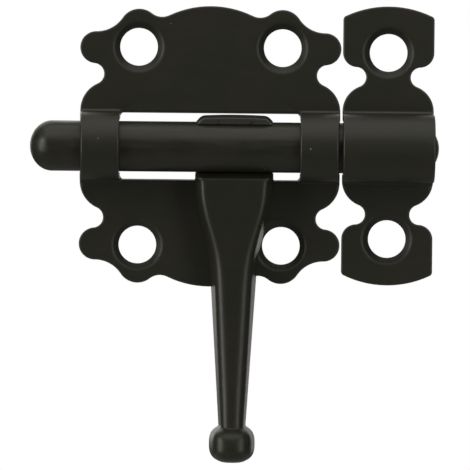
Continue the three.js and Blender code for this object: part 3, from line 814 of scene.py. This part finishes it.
def sections(half, ridge, front, back, rounding, z):
    """Sections from the sheet's left edge over both ridges to its right edge: rows are heights z.

    Each has its edges at (half, back) and its ridges at (ridge, front), and each ridge is rounded by a
    quadratic that starts and ends its rounding away, along the front and the flank.
    """
    flank = np.maximum(np.hypot(half - ridge, back - front), 1e-9)
    reach = np.minimum(rounding, MOST_ROUNDING * np.minimum(ridge, flank))
    to_back_x, to_back_y = (half - ridge) / flank, (back - front) / flank
    middle = np.linspace(0, 1, FRONT_STEPS // 2 + 1)[None, :]
    front_x = (ridge - reach)[:, None] * middle
    front_y = np.broadcast_to(front[:, None], front_x.shape)
    t = np.linspace(0, 1, RIDGE_STEPS + 1)[None, 1:]
    a_x, b_x = (ridge - reach)[:, None], (ridge + to_back_x * reach)[:, None]
    b_y = (front + to_back_y * reach)[:, None]
    bend_x = quadratic(a_x, ridge[:, None], b_x, t)
    bend_y = quadratic(front[:, None], front[:, None], b_y, t)
    s = np.linspace(0, 1, FLANK_STEPS + 1)[None, 1:]
    side_x = b_x + (half[:, None] - b_x) * s
    side_y = b_y + (back[:, None] - b_y) * s
    right_x = np.hstack([front_x, bend_x, side_x])
    right_y = np.hstack([front_y, bend_y, side_y])
    x = np.hstack([-right_x[:, :0:-1], right_x])
    y = np.hstack([right_y[:, :0:-1], right_y])
    return np.stack([x, y, np.broadcast_to(z[:, None], x.shape)], -1)


def strip_sections(turn, radius, half):
    """Straight sections across a strip of half widths half, bent round the bolt: rows are (turn, radius)."""
    x = half[:, None] * np.linspace(-1, 1, COLUMNS)[None, :]
    y = np.broadcast_to((radius * np.cos(turn))[:, None], x.shape)
    z = np.broadcast_to((radius * np.sin(turn))[:, None], x.shape)
    return np.stack([x, y, z], -1)


def steps_to_one(count):
    """Equal steps up to 1, without 0."""
    return np.linspace(0, 1, count + 1)[1:]


def path(a, c, b, count):
    """Points along the quadratic from a to b under c, without a itself."""
    return quadratic(np.array(a), np.array(c), np.array(b), steps_to_one(count)[:, None])


def bulb_turns(steps, inset):
    """Depths down the bulb by equal turns of its rounded square, which stop short of no width."""
    h = settings("handle")
    sine = np.sin(np.linspace(-math.pi / 2, BULB_END * math.pi / 2, steps))
    turned = np.sign(sine) * np.abs(sine) ** (2 / h.bulb_roundness)
    return HANDLE_LENGTH - h.bulb_half_height + (h.bulb_half_height - inset) * turned


def handle_rows():
    """The handle's outer and inner sheet faces, as rows of sections from the hook's end down to the bulb."""
    h = settings("handle")
    inner_r, outer_r = HOOK_OUTER - h.sheet, HOOK_OUTER
    strip_half = h.hook_width / 2

    # The hook: from its sheared end, past the top of the bolt, round the back to the bottom.
    start = math.pi / 2 + h.hook_lap
    near_end = LIP_BACK[-1, 0] * MM + END_RUN * h.hook_corner * steps_to_one(END_ROWS) ** 1.5
    rest = np.linspace(near_end[-1], (start + math.pi / 2) * inner_r, HOOK_ROWS + 1)[1:]

    def hook_face(lip, far_share):
        """One face of the hook: the turn, the radius and the half width of each row."""
        run = np.concatenate([lip[:, 0] * MM, near_end, rest])
        share_out = np.concatenate([lip[:, 1], np.full(len(run) - len(lip), far_share)])
        corner = np.clip(1 - run / h.hook_corner, 0, 1)
        half = strip_half - h.hook_corner * (1 - np.sqrt(1 - corner**2))
        return start - run / inner_r, inner_r + share_out * h.sheet, half

    hook_front = strip_sections(*hook_face(LIP_FRONT, 0.0))
    turn, radius, half = hook_face(LIP_BACK, 1.0)
    hook_back = strip_sections(turn, radius, half)
    across = np.linspace(-1, 1, COLUMNS)[None, :]
    into_side = np.clip((np.abs(across) * strip_half - (strip_half - h.hook_side)) / h.hook_side, 0, 1)
    side_fall = h.hook_side * (1 - np.sqrt(1 - SIDE_FALL * into_side**2))
    fall = np.minimum(h.hook_crown * across**2 + side_fall, MOST_FALL * (radius[:, None] - inner_r))
    fall = fall * smooth((turn + math.pi / 2) / FALL_END)[:, None]
    hook_back[..., 1] -= fall * np.cos(turn)[:, None]
    hook_back[..., 2] -= fall * np.sin(turn)[:, None]

    # The slope: forward from under the bolt and down to the head's front edge, with the walls' first part.
    edge_z = -(inner_r + h.head_slope)
    bend_end, edge_start = (-0.95 * MM, -inner_r - 0.42 * h.head_slope), (-1.6 * MM, edge_z + 0.28 * MM)
    slope_mid, edge_end = (-1.3 * MM, -inner_r - 0.6 * h.head_slope), (-h.head_reach, edge_z - 0.35 * MM)
    over = np.vstack(
        [
            path((0, -inner_r), (-0.45 * MM, -inner_r), bend_end, 6),
            path(bend_end, slope_mid, edge_start, 3),
            path(edge_start, (-h.head_reach, edge_z), edge_end, 8),
        ]
    )
    inner_y = h.sheet - h.head_reach
    under = path((0, -outer_r), (inner_y, -outer_r), (inner_y, -outer_r - 0.6 * MM), len(over))
    down = steps_to_one(len(over))

    def trough(inset, slope):
        """One face of the shank and bulb, whose walls reach their full depth a little below the head."""
        first = -slope[-1, 1]
        bulb = bulb_turns(BULB_ROWS, inset)
        full = first + 1.2 * MM + inset / 4
        walls = np.linspace(first, full, WALL_ROWS + 1)[1:]
        shank = np.linspace(full, bulb[0], SHANK_ROWS + 2)[1:-1]
        below = np.concatenate([-slope[:, 1], walls, shank, bulb])
        half, ridge, front, back, rounding = handle_form(below, inset)
        front = np.minimum(front, back - LEAST_DEPTH)
        count = len(slope)
        front[:count] = slope[:, 0]
        wall = smooth((below - (inner_r + h.head_slope)) / h.wall_drop)
        end_y = (1 - wall) * -h.wall_start + wall * back
        share_down = down**0.6
        half[:count] = strip_half + (half[count] - strip_half) * share_down
        head_ridge = HEAD_RIDGE * strip_half
        ridge[:count] = head_ridge + (ridge[count] - head_ridge) * share_down
        rounding[:count] = rounding[count] * down
        end_y[:count] = np.maximum(end_y[:count] * down, front[:count] + 1e-6)
        end_y = np.maximum(end_y, front + LEAST_DEPTH)
        return sections(half, ridge, front, end_y, rounding, -below)

    outer = np.concatenate([hook_front, trough(0.0, over)])
    return outer, np.concatenate([hook_back, trough(h.sheet, under)])


def build_handle():
    """The handle: one sheet from its hook to its bulb, its two faces joined round rounded rims."""
    h = settings("handle")
    outer, inner = handle_rows()
    rows = len(outer)
    turn = np.linspace(0, math.pi, RIM_STEPS + 2)[None, 1:-1, None]

    def rim(column, side):
        """A half round from the outer face's edge to the inner one's, bulging away from the sheet."""
        a, b = outer[:, column], inner[:, column]
        across = a - b
        down = np.gradient((a + b) / 2, axis=0)
        out = np.cross(across, down) * side
        out /= np.maximum(np.linalg.norm(out, axis=1, keepdims=True), 1e-12)
        bulge = np.minimum(h.rim_rounding, 0.5 * np.linalg.norm(across, axis=1, keepdims=True))
        middle, over, aside = (v[:, None] for v in ((a + b) / 2, across / 2, out * bulge))
        return middle + np.cos(turn) * over + np.sin(turn) * aside

    right, left = rim(-1, 1), rim(0, -1)[:, ::-1]
    section = np.concatenate([outer, right, inner[:, ::-1], left], 1)
    around = section.shape[1]
    points = section.reshape(-1, 3) + np.array(BOLT_AXIS)
    faces = grid_faces(rows, around, wrap=True).tolist()
    for row, reverse in ((0, False), (rows - 1, True)):
        at = row * around
        for face in cap_faces(around):
            faces.append([at + i for i in (face[::-1] if reverse else face)])
    # Greyed places of the handle's coat, as wear and painted highlight: the rims, the hook's sheared end and,
    # less strongly, the ridges.
    edge = np.zeros((rows, around))
    edge[:, COLUMNS : COLUMNS + RIM_STEPS] = 1
    edge[:, -RIM_STEPS:] = 1
    edge[: len(LIP_FRONT)] = 1
    ridge = FLANK_STEPS + RIDGE_STEPS // 2
    for column in (ridge - 1, ridge, ridge + 1):
        edge[:, [column, COLUMNS - 1 - column]] = RIDGE_WEAR_AND_HIGHLIGHT
    return new_piece("handle_pressing", points, faces, edge.ravel(), "handle", "handle")


def cap_faces(around):
    """Faces that close one end of the loop: quads from outer to inner face, and the two half-round rims."""
    opposite = around - RIM_STEPS - 1
    faces = [[i, i + 1, opposite - i - 1, opposite - i] for i in range(COLUMNS - 1)]
    faces.append(list(range(COLUMNS - 1, COLUMNS + RIM_STEPS + 1)))
    faces.append([*range(opposite, around), 0])
    return faces


# ---- Finishes ----
class Graph:
    """A node tree with short ways to add its nodes and to join them."""

    def __init__(self, tree):
        self.tree = tree
        tree.nodes.clear()

    def node(self, kind, sockets=None, **options):
        """A node of the kind, with its options set and each socket given a value or another node's output."""
        made = self.tree.nodes.new(kind)
        for option, value in options.items():
            setattr(made, option, value)
        for socket, value in (sockets or {}).items():
            if isinstance(value, bpy.types.NodeSocket):
                self.tree.links.new(value, made.inputs[socket])
            else:
                made.inputs[socket].default_value = value
        return made

    def math(self, operation, *values, clamp=False):
        """The result of a Math node."""
        sockets = dict(enumerate(values))
        return self.node("ShaderNodeMath", sockets, operation=operation, use_clamp=clamp).outputs[0]

    def noise(self, vector, scale, detail, roughness=0.5):
        """The value of a Noise Texture."""
        sockets = {"Vector": vector, "Scale": scale, "Detail": detail, "Roughness": roughness}
        return self.node("ShaderNodeTexNoise", sockets).outputs["Fac"]

    def ramp(self, value, low, high):
        """0 up to low, 1 from high, and smooth between them."""
        sockets = {"Value": value, "From Min": low, "From Max": high}
        return self.node("ShaderNodeMapRange", sockets, interpolation_type="SMOOTHSTEP").outputs["Result"]

    def mix(self, factor, a, b):
        """The colour between a and b, each a node's output or an RGB colour."""
        a, b = (v if isinstance(v, bpy.types.NodeSocket) else (*v, 1) for v in (a, b))
        return self.node("ShaderNodeMix", {"Factor": factor, 6: a, 7: b}, data_type="RGBA").outputs[2]


def effect(name, inputs, outputs, fill_in):
    """A node group that puts out masks or heights, made once: fill_in(graph, inputs) gives its outputs."""
    tree = bpy.data.node_groups.get(name)
    if tree:
        return tree
    tree = bpy.data.node_groups.new(name, "ShaderNodeTree")
    graph = Graph(tree)
    for label, value in inputs.items():
        kind = "NodeSocketFloat" if isinstance(value, float) else "NodeSocketVector"
        socket = tree.interface.new_socket(label, in_out="INPUT", socket_type=kind)
        if isinstance(value, float):
            socket.default_value = value
    for label in outputs:
        tree.interface.new_socket(label, in_out="OUTPUT", socket_type="NodeSocketFloat")
    given = graph.node("NodeGroupInput")
    results = fill_in(graph, given.outputs)
    graph.node("NodeGroupOutput", dict(zip(outputs, results)))
    return tree


def coat_grain():
    """The coat's surface: a fine grain over a soft orange peel, both noise, added by their shares."""

    def fill_in(graph, given):
        fine = graph.noise(given["Position"], given["Grain"], 3.0, 0.6)
        peel = graph.noise(given["Position"], given["Peel"], 1.0)
        return [graph.math("ADD", graph.math("MULTIPLY", fine, given["Share"]), peel)]

    sockets = {"Position": None, "Grain": 5.0, "Peel": 0.8, "Share": 0.3}
    return effect("Coat grain", sockets, ["Height"], fill_in)


def coat_drift():
    """Slow changes over the coat: one noise for its tone, and a stretched one for its gloss."""

    def fill_in(graph, given):
        tone = graph.noise(given["Position"], given["Tone"], 4.0)
        stretch = graph.node(
            "ShaderNodeVectorMath", {0: given["Position"], 1: (0.16, 1.0, 1.0)}, operation="MULTIPLY"
        )
        streak = graph.noise(stretch.outputs[0], given["Streak"], 5.0, 0.65)
        return [graph.ramp(tone, 0.35, 0.68), graph.ramp(streak, 0.3, 0.72)]

    sockets = {"Position": None, "Tone": 0.09, "Streak": 0.8}
    return effect("Coat drift", sockets, ["Tone", "Gloss"], fill_in)


def edge_wear_and_highlight():
    """Where an edge is greyed, as handling wear and as a painted highlight along it: the edge's share plus
    noise, past a threshold.
    """

    def fill_in(graph, given):
        broken = graph.noise(given["Position"], given["Break"], 6.0, 0.7)
        near = graph.math("MULTIPLY_ADD", given["Edge"], 0.95, graph.math("SUBTRACT", broken, 0.5))
        return [graph.ramp(near, given["From"], 1.0)]

    sockets = {"Position": None, "Edge": 0.0, "Break": 1.3, "From": 0.3}
    return effect("Edge wear and painted highlight", sockets, ["Wear"], fill_in)


def stray_specks():
    """Lone specks of dust and chips: discs round the points of a cell pattern, kept in few of its cells."""

    def fill_in(graph, given):
        cells = graph.node("ShaderNodeTexVoronoi", {"Vector": given["Position"], "Scale": given["Cells"]})
        chosen = graph.node("ShaderNodeSeparateColor", {"Color": cells.outputs["Color"]}).outputs[0]
        few = graph.math("GREATER_THAN", chosen, given["Rarity"])
        disc = graph.math("SUBTRACT", 1.0, graph.ramp(cells.outputs["Distance"], 0.0, given["Size"]))
        return [graph.math("MULTIPLY", few, disc)]

    sockets = {"Position": None, "Cells": 0.5, "Rarity": 0.95, "Size": 0.1}
    return effect("Stray specks", sockets, ["Speck"], fill_in)


WEAR_AND_HIGHLIGHT_MIX = 0.55  # how far places greyed by wear and painted highlight turn to the lighter worn colour
WEAR_GLOSS = -0.08  # how much rubbing changes the roughness
SPECK_MIX = 0.8  # how much steel shows through a chip
BUMP = 0.008 * MM


def black_coat(name, roughness, grain, wear_and_highlight_from, gloss_change, offset):
    """A satin black coat on steel, with its own grain, drift of gloss, and greyed edges that are wear and
    painted highlight.
    """
    material = bpy.data.materials.get(name)
    if material:
        return material
    finish = settings("finish")
    material = bpy.data.materials.new(name)
    material.use_nodes = True
    graph = Graph(material.node_tree)
    place = graph.node("ShaderNodeTexCoord").outputs["Object"]
    mapping = {"Vector": place, "Location": offset, "Scale": (1 / MM, 1 / MM, 1 / MM)}
    position = graph.node("ShaderNodeMapping", mapping).outputs[0]
    edge = graph.node("ShaderNodeAttribute", attribute_name="edge").outputs["Fac"]

    def add(tree, **sockets):
        """The outputs of one of the effects, at this coat's position."""
        given = {"Position": position, **sockets}
        return graph.node("ShaderNodeGroup", given, node_tree=tree).outputs

    drift = add(coat_drift())
    wear_and_highlight = add(edge_wear_and_highlight(), Edge=edge, From=wear_and_highlight_from)["Wear"]
    speck = add(stray_specks())["Speck"]
    height = add(coat_grain(), Share=grain)["Height"]
    colour_of_coat = graph.mix(drift["Tone"], finish.coat, finish.coat_warm)
    # The coat greys towards the lighter worn colour at edges and bends: wear, and also a painted highlight
    # along them.
    greyed_and_highlit = graph.mix(graph.math("MULTIPLY", wear_and_highlight, WEAR_AND_HIGHLIGHT_MIX), colour_of_coat, finish.worn_and_highlit)
    base = graph.mix(graph.math("MULTIPLY", speck, SPECK_MIX), greyed_and_highlit, finish.steel)
    change = graph.math("MULTIPLY", graph.math("SUBTRACT", drift["Gloss"], 0.5), gloss_change)
    rubbed = graph.math("MULTIPLY", wear_and_highlight, WEAR_GLOSS)
    rough = graph.math("ADD", graph.math("ADD", change, roughness), rubbed, clamp=True)
    bump = graph.node("ShaderNodeBump", {"Strength": 1.0, "Distance": BUMP, "Height": height})
    shader = graph.node(
        "ShaderNodeBsdfPrincipled",
        {"Base Color": base, "Roughness": rough, "Normal": bump.outputs[0], "IOR": 1.5},
    )
    graph.node("ShaderNodeOutputMaterial", {"Surface": shader.outputs[0]})
    return material


def plate_coat():
    """The pressed plates' coat."""
    finish = settings("finish")
    return black_coat("Plate coat", finish.plate_roughness, 0.3, 0.22, 0.05, (0, 0, 0))


def bolt_coat():
    """The bolt's coat, rubbed along its length where it slides."""
    finish = settings("finish")
    return black_coat("Bolt coat", finish.bolt_roughness, 0.18, 0.34, 0.2, (31, 0, 7))


def handle_coat():
    """The handle's coat, smoother from the hand."""
    finish = settings("finish")
    return black_coat("Handle coat", finish.handle_roughness, 0.22, 0.3, 0.05, (0, 13, 29))


# ---- Stage ----
WORLD_SHARE = 0.08  # how strongly the world lights the latch, where the backdrop is 1
# Each light: name, azimuth and elevation in degrees, distance and size in metres, watts and tint.
LIGHTS = (
    ("overhead", 0, 74, 0.55, (0.9, 0.8), 2.1, (1.0, 0.95, 0.92)),
    ("left_front", -60, 6, 0.7, (0.36, 0.6), 2.2, (1.0, 0.96, 0.93)),
    ("right_front", 42, 6, 0.7, (0.24, 0.6), 1.1, (1.0, 0.96, 0.93)),
    ("left_back", -160, 20, 0.7, (0.4, 0.7), 1.2, (1.0, 0.98, 0.95)),
    ("right_back", 165, 15, 0.7, (0.4, 0.7), 0.8, (1.0, 0.98, 0.95)),
)
LIGHT_TARGET = Vector((0, 0, -10 * MM))


def aim(position, target, roll=0.0):
    """The matrix of a camera or light at position that looks at target, turned by roll about its view."""
    turned = (Vector(position) - Vector(target)).to_track_quat("Z", "Y").to_matrix().to_4x4()
    return Matrix.Translation(position) @ turned @ Matrix.Rotation(roll, 4, "Z")


def around(target, azimuth, elevation, distance):
    """The point at a distance from target: azimuth 0 is in front, and it grows towards +X."""
    flat = distance * math.cos(elevation)
    offset = Vector((flat * math.sin(azimuth), -flat * math.cos(azimuth), distance * math.sin(elevation)))
    return Vector(target) + offset


def add_camera():
    """The camera, at the distance and height that the latch is shown from."""
    stage = settings("stage")
    target = Vector((stage.aim_x, 0, -stage.aim_drop))
    data = bpy.data.cameras.new("latch_camera")
    data.sensor_width = 36
    data.lens = data.sensor_width * stage.distance / stage.framed
    data.clip_start = 0.01
    data.clip_end = 20
    camera = bpy.data.objects.new("latch_camera", data)
    position = around(target, 0, stage.elevation, stage.distance)
    camera.matrix_world = aim(position, target, stage.roll)
    bpy.context.scene.collection.objects.link(camera)
    bpy.context.scene.camera = camera


def add_light(name, azimuth, elevation, distance, size, power, tint):
    """A rectangular soft light that looks at the latch."""
    data = bpy.data.lights.new(name, "AREA")
    data.shape = "RECTANGLE"
    data.size, data.size_y = size
    data.energy = power
    data.color = tint
    light = bpy.data.objects.new(name, data)
    position = around(LIGHT_TARGET, math.radians(azimuth), math.radians(elevation), distance)
    light.matrix_world = aim(position, LIGHT_TARGET)
    bpy.context.scene.collection.objects.link(light)


def add_world():
    """A white backdrop for the camera, which lights the latch with only a share of what is seen."""
    world = bpy.data.worlds.new("latch_world")
    bpy.context.scene.world = world
    world.use_nodes = True
    graph = Graph(world.node_tree)
    seen = graph.node("ShaderNodeLightPath").outputs["Is Camera Ray"]
    shown = graph.node("ShaderNodeBackground", {"Color": (1.0, 1.0, 1.0, 1), "Strength": 1.0})
    lit = graph.node("ShaderNodeBackground", {"Color": (1.0, 0.99, 0.97, 1), "Strength": WORLD_SHARE})
    both = graph.node("ShaderNodeMixShader", {0: seen, 1: lit.outputs[0], 2: shown.outputs[0]})
    graph.node("ShaderNodeOutputWorld", {"Surface": both.outputs[0]})


def add_floor():
    """A plain pale disc under the latch: rings r at angles t."""
    stage = settings("stage")
    rings, around_ring = 8, 96
    turn = np.linspace(0, 2 * math.pi, around_ring, endpoint=False)
    radius = np.linspace(20 * MM, stage.floor_radius, rings)[:, None]
    x, y = radius * np.cos(turn), radius * np.sin(turn)
    points = np.stack([x, y, np.full_like(x, HANDLE_LOW.z - stage.floor_drop)], -1).reshape(-1, 3)
    faces = grid_faces(rings, around_ring, wrap=True).tolist() + [list(range(around_ring))]
    mesh = bpy.data.meshes.new("floor")
    mesh.from_pydata(points.tolist(), [], faces)
    material = bpy.data.materials.new("Floor")
    material.use_nodes = True
    graph = Graph(material.node_tree)
    place = graph.node("ShaderNodeTexCoord").outputs["Object"]
    shade = graph.ramp(graph.noise(place, 40.0, 2.0), 0.0, 1.0)
    pale = graph.mix(shade, (0.8, 0.8, 0.79), (0.84, 0.84, 0.83))
    seen = graph.node("ShaderNodeLightPath").outputs["Is Camera Ray"]
    cast = graph.mix(seen, (0.4, 0.4, 0.39), pale)
    glow = graph.math("MULTIPLY", seen, 0.6)
    shader = graph.node(
        "ShaderNodeBsdfPrincipled",
        {"Base Color": cast, "Roughness": 0.8, "Emission Color": pale, "Emission Strength": glow},
    )
    graph.node("ShaderNodeOutputMaterial", {"Surface": shader.outputs[0]})
    mesh.materials.append(material)
    floor = bpy.data.objects.new("floor", mesh)
    bpy.context.scene.collection.objects.link(floor)
    floor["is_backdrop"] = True


# ---- Operators and panel ----
class LATCH_OT_door_plate(Operator):
    """Build the door plate with its window, countersunk holes and two bridges"""

    bl_idname = "latch.door_plate"
    bl_label = "Door plate"

    def execute(self, context):
        build_door_plate().data.materials.append(plate_coat())
        return {"FINISHED"}


class LATCH_OT_keeper(Operator):
    """Build the keeper with its bridge and two countersunk holes"""

    bl_idname = "latch.keeper"
    bl_label = "Keeper"

    def execute(self, context):
        build_keeper().data.materials.append(plate_coat())
        return {"FINISHED"}


class LATCH_OT_bolt(Operator):
    """Build the round bolt"""

    bl_idname = "latch.bolt"
    bl_label = "Bolt"

    def execute(self, context):
        build_bolt().data.materials.append(bolt_coat())
        return {"FINISHED"}


class LATCH_OT_handle(Operator):
    """Build the handle, from the hook round the bolt to its bulb"""

    bl_idname = "latch.handle"
    bl_label = "Handle"

    def execute(self, context):
        build_handle().data.materials.append(handle_coat())
        return {"FINISHED"}


class LATCH_OT_stage(Operator):
    """Set up the camera, the backdrop, the soft lights and the floor"""

    bl_idname = "latch.stage"
    bl_label = "Stage"

    def execute(self, context):
        context.scene.view_settings.view_transform = "Standard"
        add_camera()
        add_world()
        for light in LIGHTS:
            add_light(*light)
        add_floor()
        return {"FINISHED"}


class LATCH_PT_panel(Panel):
    """The latch's pieces and stage, each with its settings"""

    bl_idname = "LATCH_PT_panel"
    bl_label = "Toggle bolt latch"
    bl_space_type = "VIEW_3D"
    bl_region_type = "UI"
    bl_category = "Latch"

    def draw(self, context):
        for operator in OPERATORS:
            self.layout.operator(operator.bl_idname)
        for name, kind in SETTINGS.items():
            box = self.layout.box()
            box.label(text=name.removeprefix("latch_").title())
            for field in kind.__annotations__:
                box.prop(getattr(context.scene, name), field)


OPERATORS = (LATCH_OT_door_plate, LATCH_OT_keeper, LATCH_OT_bolt, LATCH_OT_handle, LATCH_OT_stage)


def register():
    for cls in (*SETTINGS.values(), *OPERATORS, LATCH_PT_panel):
        bpy.utils.register_class(cls)
    for name, kind in SETTINGS.items():
        setattr(bpy.types.Scene, name, PointerProperty(type=kind))


def unregister():
    for name in SETTINGS:
        delattr(bpy.types.Scene, name)
    for cls in (LATCH_PT_panel, *reversed(OPERATORS), *reversed(SETTINGS.values())):
        bpy.utils.unregister_class(cls)


def main():
    register()
    bpy.ops.latch.door_plate()
    bpy.ops.latch.keeper()
    bpy.ops.latch.bolt()
    bpy.ops.latch.handle()
    bpy.ops.latch.stage()
    boxes = {"cad": CAD_BOX, "visual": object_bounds()}
    {name: [list(corner) for corner in box] for name, box in boxes.items()}


if __name__ == "__main__":
    main()
